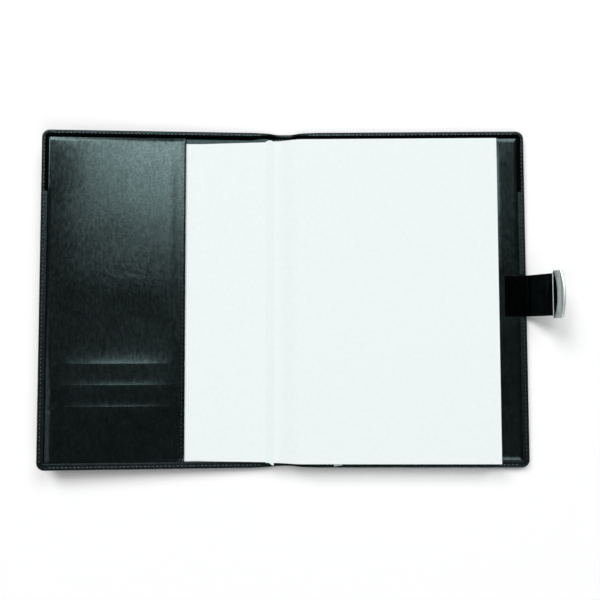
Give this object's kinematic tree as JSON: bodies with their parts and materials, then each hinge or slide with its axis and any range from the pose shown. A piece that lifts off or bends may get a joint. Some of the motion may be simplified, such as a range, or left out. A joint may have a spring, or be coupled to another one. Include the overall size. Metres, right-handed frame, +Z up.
{
  "type": "daily planner",
  "caption": "Refillable daily planner lying open: padded black leatherette cover with card pockets, blank notebook refill, ribbon marker and a magnetic closing strap with a chrome clip.",
  "frame": {"origin": "centre of the bounding box's bottom face: the table, half-way between the front cover's outer edge and the strap's end, at mid height of the cover", "axes": "+Z up from the table, +X from the front cover across the spine to the back cover and strap, +Y along the spine towards the head of the pages"},
  "size_m": [0.3854, 0.254, 0.0319],
  "materials": {
    "band_skin": "gloss",
    "cover_skin": "satin",
    "pocket_skin": "satin",
    "strap_skin": "gloss",
    "lining_cloth": "matte",
    "padding": "matte",
    "greyboard": "matte",
    "thread": "matte",
    "page_paper": "matte",
    "sheet_card": "matte",
    "ribbon_cloth": "satin",
    "clip_metal": "polished",
    "magnet_metal": "satin",
    "plate_steel": "satin"
  },
  "bodies": {
    "back_cover": {"back_skin_upper": "band_skin", "back_skin_lower": "cover_skin", "back_foam": "padding", "back_board": "greyboard", "back_lining": "lining_cloth", "back_pocket_panel": "pocket_skin", "back_edge_stitching": "thread", "back_pocket_stitching": "thread", "strap_base": "strap_skin"},
    "spine": {"spine_skin_upper": "band_skin", "spine_skin_lower": "cover_skin", "spine_lining": "lining_cloth"},
    "front_cover": {"front_skin_upper": "band_skin", "front_skin_lower": "cover_skin", "front_foam": "padding", "front_board": "greyboard", "front_lining": "lining_cloth", "front_pocket_panel": "pocket_skin", "card_sleeve_1": "lining_cloth", "card_sleeve_2": "lining_cloth", "card_sleeve_3": "lining_cloth", "front_edge_stitching": "thread", "front_pocket_stitching": "thread", "keeper_plate": "plate_steel", "notebook_front_cover": "sheet_card", "front_endpaper": "page_paper"},
    "notebook": {"page_block_upper": "page_paper", "page_block_lower": "page_paper", "ribbon_marker": "ribbon_cloth", "notebook_spine": "sheet_card", "notebook_back_cover": "sheet_card", "hinge_tape": "sheet_card"},
    "leaf": {"first_leaf": "page_paper"},
    "strap": {"strap_riser_face": "strap_skin", "strap_riser_lining": "strap_skin"},
    "strap_tip": {"strap_tab_face": "strap_skin", "strap_tab_lining": "strap_skin", "strap_magnet": "magnet_metal", "metal_tip": "clip_metal", "tip_rivets": "clip_metal"}
  },
  "joints": [
    {"name": "spine_fold", "type": "hinge", "parent": "back_cover", "child": "spine", "pos_m": [0.00079, 0, 0.00055], "axis": [0, -1, 0], "range_deg": [-90, 0], "deforming": ["spine_skin_upper", "spine_skin_lower", "spine_lining", "hinge_tape"]},
    {"name": "front_cover_fold", "type": "hinge", "parent": "spine", "child": "front_cover", "pos_m": [-0.02221, 0, 0.00055], "axis": [0, -1, 0], "range_deg": [-85.5, 0], "deforming": ["front_endpaper"]},
    {"name": "notebook_slide", "type": "slide", "parent": "back_cover", "child": "notebook", "axis": [-1, 0, 0], "range_m": [-0.021, 0]},
    {"name": "leaf_turn", "type": "hinge", "parent": "notebook", "child": "leaf", "pos_m": [-0.01851, 0, 0.0122], "axis": [0, -1, 0], "range_deg": [0, 175], "deforming": ["first_leaf"]},
    {"name": "strap_fold", "type": "hinge", "parent": "back_cover", "child": "strap", "pos_m": [0.17299, 0.001, 0.0054], "axis": [0, 1, 0], "range_deg": [-36, 0]},
    {"name": "strap_tip_fold", "type": "hinge", "parent": "strap", "child": "strap_tip", "pos_m": [0.18489, 0.001, 0.02178], "axis": [0, 1, 0], "range_deg": [-90, 0]}
  ],
  "couplings": [
    {"joint": "spine_fold", "follows": "notebook_slide", "rad_per_m": 74.8},
    {"joint": "front_cover_fold", "follows": "notebook_slide", "rad_per_m": 71.06}
  ]
}
